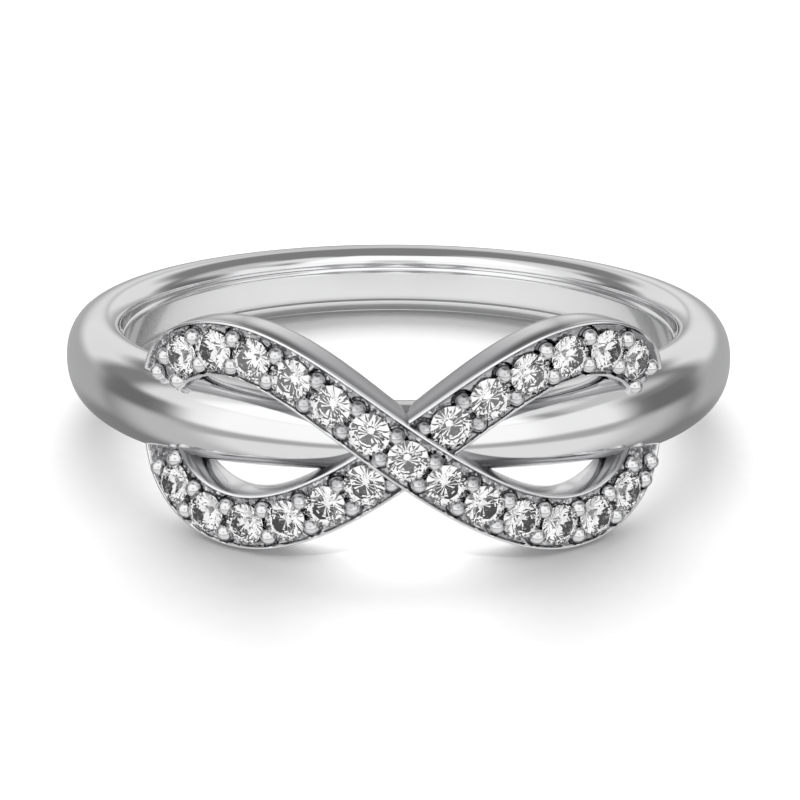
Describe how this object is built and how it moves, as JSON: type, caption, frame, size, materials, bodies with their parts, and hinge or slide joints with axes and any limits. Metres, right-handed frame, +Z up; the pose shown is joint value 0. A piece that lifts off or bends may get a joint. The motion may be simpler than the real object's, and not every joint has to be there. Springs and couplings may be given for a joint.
{
  "type": "wedding ring",
  "caption": "Polished white metal finger ring: a rounded comfort-fit band carrying a figure eight of two crossing ribbons set with a row of small round brilliants.",
  "frame": {"origin": "on the surface that the ring rests on, below the middle of its bounding box", "axes": "+Z up as the ring lies on its side, -Y towards the front with the figure eight, +X to the right seen from the front; the finger hole's axis leans 7 degrees from +Z towards the back"},
  "size_m": [0.021, 0.0217, 0.0067],
  "materials": {
    "white_metal": "polished",
    "clear_stone": "polished"
  },
  "bodies": {
    "root": {"ring_metal": "white_metal", "stone_01": "clear_stone", "stone_02": "clear_stone", "stone_03": "clear_stone", "stone_04": "clear_stone", "stone_05": "clear_stone", "stone_06": "clear_stone", "stone_07": "clear_stone", "stone_08": "clear_stone", "stone_09": "clear_stone", "stone_10": "clear_stone", "stone_11": "clear_stone", "stone_12": "clear_stone", "stone_13": "clear_stone", "stone_14": "clear_stone", "stone_15": "clear_stone", "stone_16": "clear_stone", "stone_17": "clear_stone", "stone_18": "clear_stone", "stone_19": "clear_stone", "stone_20": "clear_stone", "stone_21": "clear_stone", "stone_22": "clear_stone", "stone_23": "clear_stone", "stone_24": "clear_stone", "stone_25": "clear_stone"}
  },
  "joints": []
}
